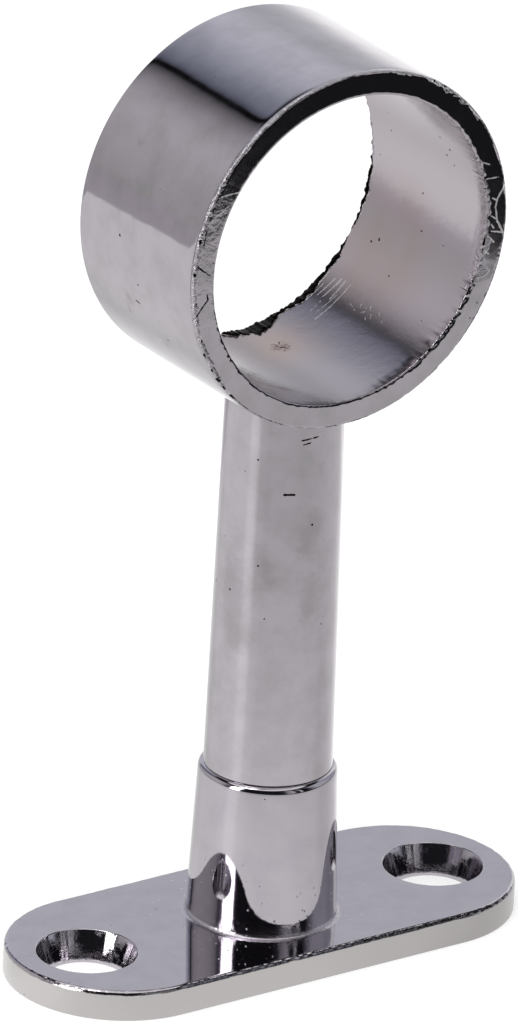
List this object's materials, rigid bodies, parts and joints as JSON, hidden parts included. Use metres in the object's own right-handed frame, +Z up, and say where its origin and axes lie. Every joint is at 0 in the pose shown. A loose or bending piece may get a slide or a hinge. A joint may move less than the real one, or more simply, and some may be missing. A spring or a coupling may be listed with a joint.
{
  "type": "tube support bracket",
  "caption": "Bracket with a ring that holds a round tube on a tapered post, which stands on the boss of a flat oval base with countersunk fixing holes.",
  "frame": {"origin": "middle of the base's flat underside", "axes": "+Z up along the post, X along the base's long side, Y along the tube"},
  "size_m": [0.045, 0.018, 0.0762],
  "materials": {
    "chrome_plate": "bright chrome plating over a zinc casting, with filed ring faces",
    "screw_steel": "plain zinc-plated steel"
  },
  "bodies": {
    "root": {"ring_post": "chrome_plate", "base_flange": "chrome_plate", "assembly_screw": "screw_steel"}
  },
  "joints": []
}
